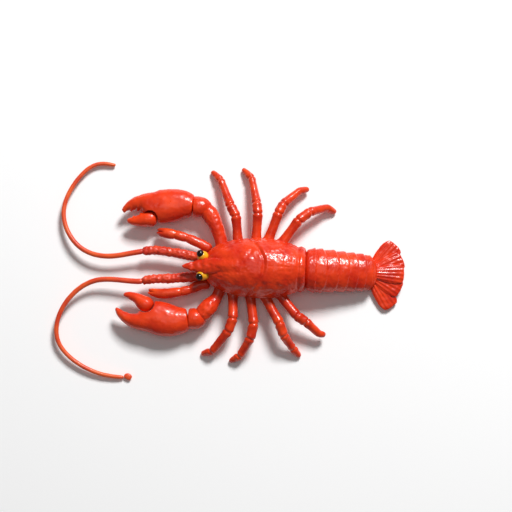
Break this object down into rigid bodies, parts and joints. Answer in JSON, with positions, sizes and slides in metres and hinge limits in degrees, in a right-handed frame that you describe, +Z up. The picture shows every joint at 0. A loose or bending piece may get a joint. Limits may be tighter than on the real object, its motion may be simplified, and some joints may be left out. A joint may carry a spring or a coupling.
{
  "type": "toy lobster",
  "caption": "Glossy moulded toy lobster with lifting claw arms, turning claws, hinged claw fingers, turning antennae and a turning tail.",
  "frame": {"origin": "middle of the flat rest face under the belly", "axes": "+Z up through the back, +X from head to tail along the body, +Y towards the animal's right side"},
  "size_m": [0.1244, 0.0796, 0.0165],
  "materials": {
    "shell": "glossy red-orange moulded plastic with a wrinkled, pitted shell texture",
    "fan": "glossy red-orange moulded plastic with fine ribs",
    "limb": "glossy red-orange moulded plastic, a little yellower at the tips",
    "claw": "glossy red-orange moulded plastic, softly dimpled",
    "pin": "plain red plastic pin",
    "antenna": "satin red plastic, ringed near the head and smooth along the whip",
    "eye": "glossy yellow paint",
    "pupil": "glossy black paint"
  },
  "bodies": {
    "shell": {"carapace": "shell", "belly_shell": "shell", "right_eye": "eye", "left_eye": "eye", "right_pupil": "pupil", "left_pupil": "pupil", "right_mouth_limb": "limb", "left_mouth_limb": "limb", "right_leg_1": "limb", "right_leg_2": "limb", "right_leg_3": "limb", "right_leg_4": "limb", "left_leg_1": "limb", "left_leg_2": "limb", "left_leg_3": "limb", "left_leg_4": "limb"},
    "tail": {"abdomen": "shell", "tail_fan": "fan"},
    "right_arm": {"right_arm": "claw", "right_wrist": "claw"},
    "left_arm": {"left_arm": "claw", "left_wrist": "claw"},
    "right_claw": {"right_claw": "claw", "right_claw_pin": "pin"},
    "left_claw": {"left_claw": "claw", "left_claw_pin": "pin"},
    "right_finger": {"right_claw_finger": "claw"},
    "left_finger": {"left_claw_finger": "claw"},
    "right_antenna": {"right_antenna_base": "antenna", "right_antenna_whip": "antenna"},
    "left_antenna": {"left_antenna_base": "antenna", "left_antenna_whip": "antenna"}
  },
  "joints": [
    {"name": "tail_turn", "type": "hinge", "parent": "shell", "child": "tail", "pos_m": [0.0156, 0, 0.0075], "axis": [1, 0, 0], "range_deg": [-20, 20]},
    {"name": "right_shoulder_lift", "type": "hinge", "parent": "shell", "child": "right_arm", "pos_m": [-0.0148, 0.0082, 0.0052], "axis": [0, 1, 0], "range_deg": [-10, 70]},
    {"name": "left_shoulder_lift", "type": "hinge", "parent": "shell", "child": "left_arm", "pos_m": [-0.0148, -0.0082, 0.0052], "axis": [0, 1, 0], "range_deg": [-10, 70]},
    {"name": "right_wrist_turn", "type": "hinge", "parent": "right_arm", "child": "right_claw", "pos_m": [-0.0257, 0.02185, 0.0052], "axis": [1, 0, 0], "range_deg": [-45, 45]},
    {"name": "left_wrist_turn", "type": "hinge", "parent": "left_arm", "child": "left_claw", "pos_m": [-0.026, -0.01892, 0.0052], "axis": [1, 0, 0], "range_deg": [-45, 45]},
    {"name": "right_finger_close", "type": "hinge", "parent": "right_claw", "child": "right_finger", "pos_m": [-0.04101, 0.0167, 0.0052], "axis": [0, 0, -1], "range_deg": [-10, 4]},
    {"name": "left_finger_close", "type": "hinge", "parent": "left_claw", "child": "left_finger", "pos_m": [-0.0412, -0.01421, 0.0052], "axis": [0, 0, 1], "range_deg": [0, 20]},
    {"name": "right_antenna_lift", "type": "hinge", "parent": "shell", "child": "right_antenna", "pos_m": [-0.0208, 0.0032, 0.0058], "axis": [1, 0, 0], "range_deg": [0, 75]},
    {"name": "left_antenna_lift", "type": "hinge", "parent": "shell", "child": "left_antenna", "pos_m": [-0.0208, -0.0032, 0.0058], "axis": [-1, 0, 0], "range_deg": [0, 75]}
  ]
}
